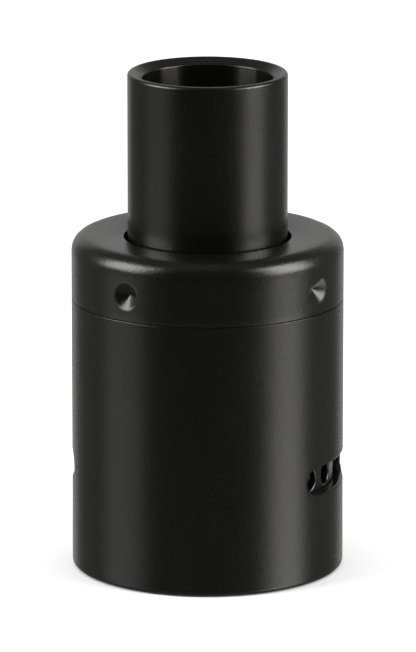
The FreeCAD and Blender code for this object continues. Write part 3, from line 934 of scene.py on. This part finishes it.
def make_deck():
    """The deck, with the post screw's countersunk seat underneath, and the connector's thread."""
    rings = rounded_edge(SEAT_R, KEEN_ROUND, SMALL_EDGE_STEPS) + list(SEAT_CONE)
    seat = Feature(SEAT_ANGLE, SEAT_PATCH, rings, closed=True)
    bands = [Band("floor", 0.0, SEAT_Y, SEAT_PATCH, -1, [seat])]
    deck = lathe("deck_body", STEEL, deck_corners(), bands)
    place(deck, "deck", "stainless_steel", "deck_base")
    ridge = thread("connector_thread", STEEL, NIPPLE_LOW_Z + THREAD_MARGIN, -THREAD_MARGIN)
    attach(ridge, "deck")


def wick_path(side):
    """The line that a wick follows: up from the well, through the coil, and down again."""
    corners = [np.array(point) * (side, 1, 1) for point in WICK_ROUTE]
    half = rounded_route(corners, WICK_BENDS)
    other_half = [point * (1, -1, 1) for point in reversed(half[1:])]
    return resample(other_half + half, WICK_STATION)


def wick_radius(side, stations):
    """A function that gives the core's lumpy radius at (station, angle), fluffier near its ends."""
    def radius(k, a):
        end = abs(2 * k / stations - 1)
        x, y = math.cos(a) * WICK_NOISE_R, math.sin(a) * WICK_NOISE_R
        where = Vector((x, y, k * WICK_NOISE_STEP + WICK_NOISE_START * side))
        lump = noise.noise(where) * WICK_LUMP + noise.noise(where * WICK_FINE_SCALE) * WICK_FINE_LUMP
        fluff = WICK_FLUFF * max(0.0, (end - WICK_FLUFF_FROM) / (1 - WICK_FLUFF_FROM))
        return WICK_R + fluff + lump * (1 + end)
    return radius


def add_strand(shape, path, frames, core_radius, rng):
    """One loose strand, at a random place and angle, that waves along the core."""
    stations = len(path) - 1
    first = int(rng.integers(0, stations - STRAND_LAST_START))
    last = min(stations, first + int(rng.integers(*STRAND_LENGTHS)))
    angle = rng.uniform(0, FULL_TURN)
    drift = rng.normal(0, STRAND_DRIFT)
    lift = max(0.0, rng.uniform(*STRAND_LIFTS))
    wave = rng.uniform(*STRAND_WAVES)
    phase = rng.uniform(0, FULL_TURN)
    line = []
    for k in range(first, last + 1, STRAND_STRIDE):
        a = angle + drift * (k - first) + wave * math.sin(k * STRAND_WAVE_RATE + phase)
        end = abs(2 * k / stations - 1)
        r = core_radius(k, a) + lift * (STRAND_LIFT_SHARE + end)
        across, up = frames[k]
        line.append(path[k] + across * (r * math.cos(a)) + up * (r * math.sin(a)))
    tube(shape, np.array(line), lambda k, a: STRAND_R, STRAND_SIDES)


def make_wick(name, side, node):
    """A cotton wick: a lumpy core that fills the coil and fluffs out below it, under loose fibres."""
    rng = np.random.default_rng(WICK_SEEDS[side])
    path = wick_path(side)
    core_radius = wick_radius(side, len(path) - 1)
    shape = Shape()
    tube(shape, path, core_radius, WICK_SIDES)
    frames = cross_frames(path)
    for _ in range(STRANDS):
        add_strand(shape, path, frames, core_radius, rng)
    wick = shape.make(name, COTTON)
    place(wick, "deck", "cotton", node)


def dress_cad_nodes():
    """Better materials for the CAD nodes whose shape stays."""
    dressed = {
        STEEL: (
            "negative_post", "negative_post_screw", "negative_clamp", "positive_clamp",
            "negative_clamp_screw_right", "negative_clamp_screw_left",
            "positive_clamp_screw_right", "positive_clamp_screw_left",
        ),
        GOLD: ("positive_post", "contact_pin"),
        PEEK: ("post_insulator", "pin_insulator"),
        WIRE: ("coil_left", "coil_right"),
    }
    for material, nodes in dressed.items():
        for node in nodes:
            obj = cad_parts[node]
            obj.data.materials.clear()
            obj.data.materials.append(material)


# ---------------------------------------------------------------- the stage

def make_floor():
    """A wide pale floor, with a hole under the body for the connector."""
    shape = Shape()
    angles = [FULL_TURN * c / FLOOR_COLUMNS for c in range(FLOOR_COLUMNS)]
    rings = [
        [shape.add((r * math.cos(a), r * math.sin(a), 0.0)) for a in angles] for r in FLOOR_RADII
    ]
    for ring, following in zip(rings, rings[1:]):
        shape.bridge(ring, following)
    floor = shape.make("floor", pale_floor().material)
    if floor.data.polygons[0].normal.z < 0:
        floor.data.flip_normals()
    floor.visible_glossy = False
    floor.visible_shadow = False


def toward(azimuth, elevation):
    """The unit vector at these angles, with the azimuth counted from the camera's to the right."""
    a, e = math.radians(CAMERA_AZIMUTH + azimuth), math.radians(elevation)
    return Vector((math.sin(a) * math.cos(e), -math.cos(a) * math.cos(e), math.sin(e)))


def screen_black():
    """A black that reflects next to nothing."""
    material = bpy.data.materials.new("black_screen")
    material.use_nodes = True
    shader = material.node_tree.nodes["Principled BSDF"]
    shader.inputs["Base Color"].default_value = SCREEN_COLOUR
    shader.inputs["Roughness"].default_value = 1.0
    shader.inputs["Specular IOR Level"].default_value = 0.0
    return material


def make_screen():
    """A curved black screen that the camera doesn't see. It darkens the reflections that it faces."""
    shape = Shape()
    (left, right), (low_z, high_z) = SCREEN_AZIMUTHS, SCREEN_HEIGHTS
    low, high = [], []
    for k in range(SCREEN_STEPS + 1):
        point = toward(left + (right - left) * k / SCREEN_STEPS, 0) * SCREEN_DISTANCE
        low.append(shape.add((point.x, point.y, low_z)))
        high.append(shape.add((point.x, point.y, high_z)))
    for k in range(SCREEN_STEPS):
        shape.faces.append((low[k], low[k + 1], high[k + 1], high[k]))
    screen = shape.make("black_screen", screen_black())
    screen.visible_camera = False


def make_panel(panel):
    """A rectangular light that faces the object."""
    first = toward(*panel.start) * PANEL_DISTANCE
    last = toward(*panel.end) * PANEL_DISTANCE
    along = (last - first).normalized()
    away = first + last
    away = (away - along * away.dot(along)).normalized()
    light = bpy.data.lights.new(panel.name, "AREA")
    light.shape = "RECTANGLE"
    light.size = (last - first).length * MM
    light.size_y = panel.width * MM
    light.energy = panel.radiance * math.pi * light.size * light.size_y
    obj = bpy.data.objects.new(panel.name, light)
    obj.location = (Vector((0, 0, LIGHT_AIM_Z)) + (first + last) / 2) * MM
    axes = Matrix((along, away.cross(along), away)).transposed()
    obj.rotation_mode = "QUATERNION"
    obj.rotation_quaternion = axes.to_quaternion()
    obj.visible_camera = False
    bpy.context.scene.collection.objects.link(obj)


def make_sky():
    """A wide soft light from straight above. It lights the floor evenly and shows in no reflection."""
    light = bpy.data.lights.new("sky", "SUN")
    light.energy = SKY_STRENGTH
    light.angle = math.radians(SKY_SPREAD)
    obj = bpy.data.objects.new("sky", light)
    obj.visible_glossy = False
    bpy.context.scene.collection.objects.link(obj)


def make_world():
    """A faint, even light from all round."""
    world = bpy.data.worlds.new("studio")
    world.use_nodes = True
    background = world.node_tree.nodes["Background"]
    background.inputs["Color"].default_value = (1.0, 1.0, 1.0, 1.0)
    background.inputs["Strength"].default_value = WORLD_STRENGTH
    bpy.context.scene.world = world


def make_camera():
    """The camera, which looks a little down on the object from in front."""
    data = bpy.data.cameras.new("camera")
    data.lens = CAMERA_LENS
    data.sensor_width = CAMERA_SENSOR
    data.shift_x = CAMERA_SHIFT_X
    data.clip_start, data.clip_end = CAMERA_CLIP
    camera = bpy.data.objects.new("camera", data)
    out = toward(0, 0)
    camera.location = (out * CAMERA_DISTANCE + Vector((0, 0, CAMERA_HEIGHT))) * MM
    camera.rotation_mode = "QUATERNION"
    camera.rotation_quaternion = toward(0, CAMERA_PITCH).to_track_quat("Z", "Y")
    bpy.context.scene.collection.objects.link(camera)
    bpy.context.scene.camera = camera


def make_studio():
    """A floor, a black screen round the camera, a softbox on each side, their low reflections, a pale
    wall behind, and a wide light overhead for the floor."""
    make_floor()
    make_world()
    make_screen()
    for panel in PANELS:
        make_panel(panel)
    make_sky()


make_sleeve()
make_cap()
make_tip()
make_rings()
make_deck()
make_wick("wick_fibres_right", 1, "wick_right")
make_wick("wick_fibres_left", -1, "wick_left")
dress_cad_nodes()
make_studio()
make_camera()
bpy.context.scene.view_settings.view_transform = "Standard"

bpy.context.view_layer.update()
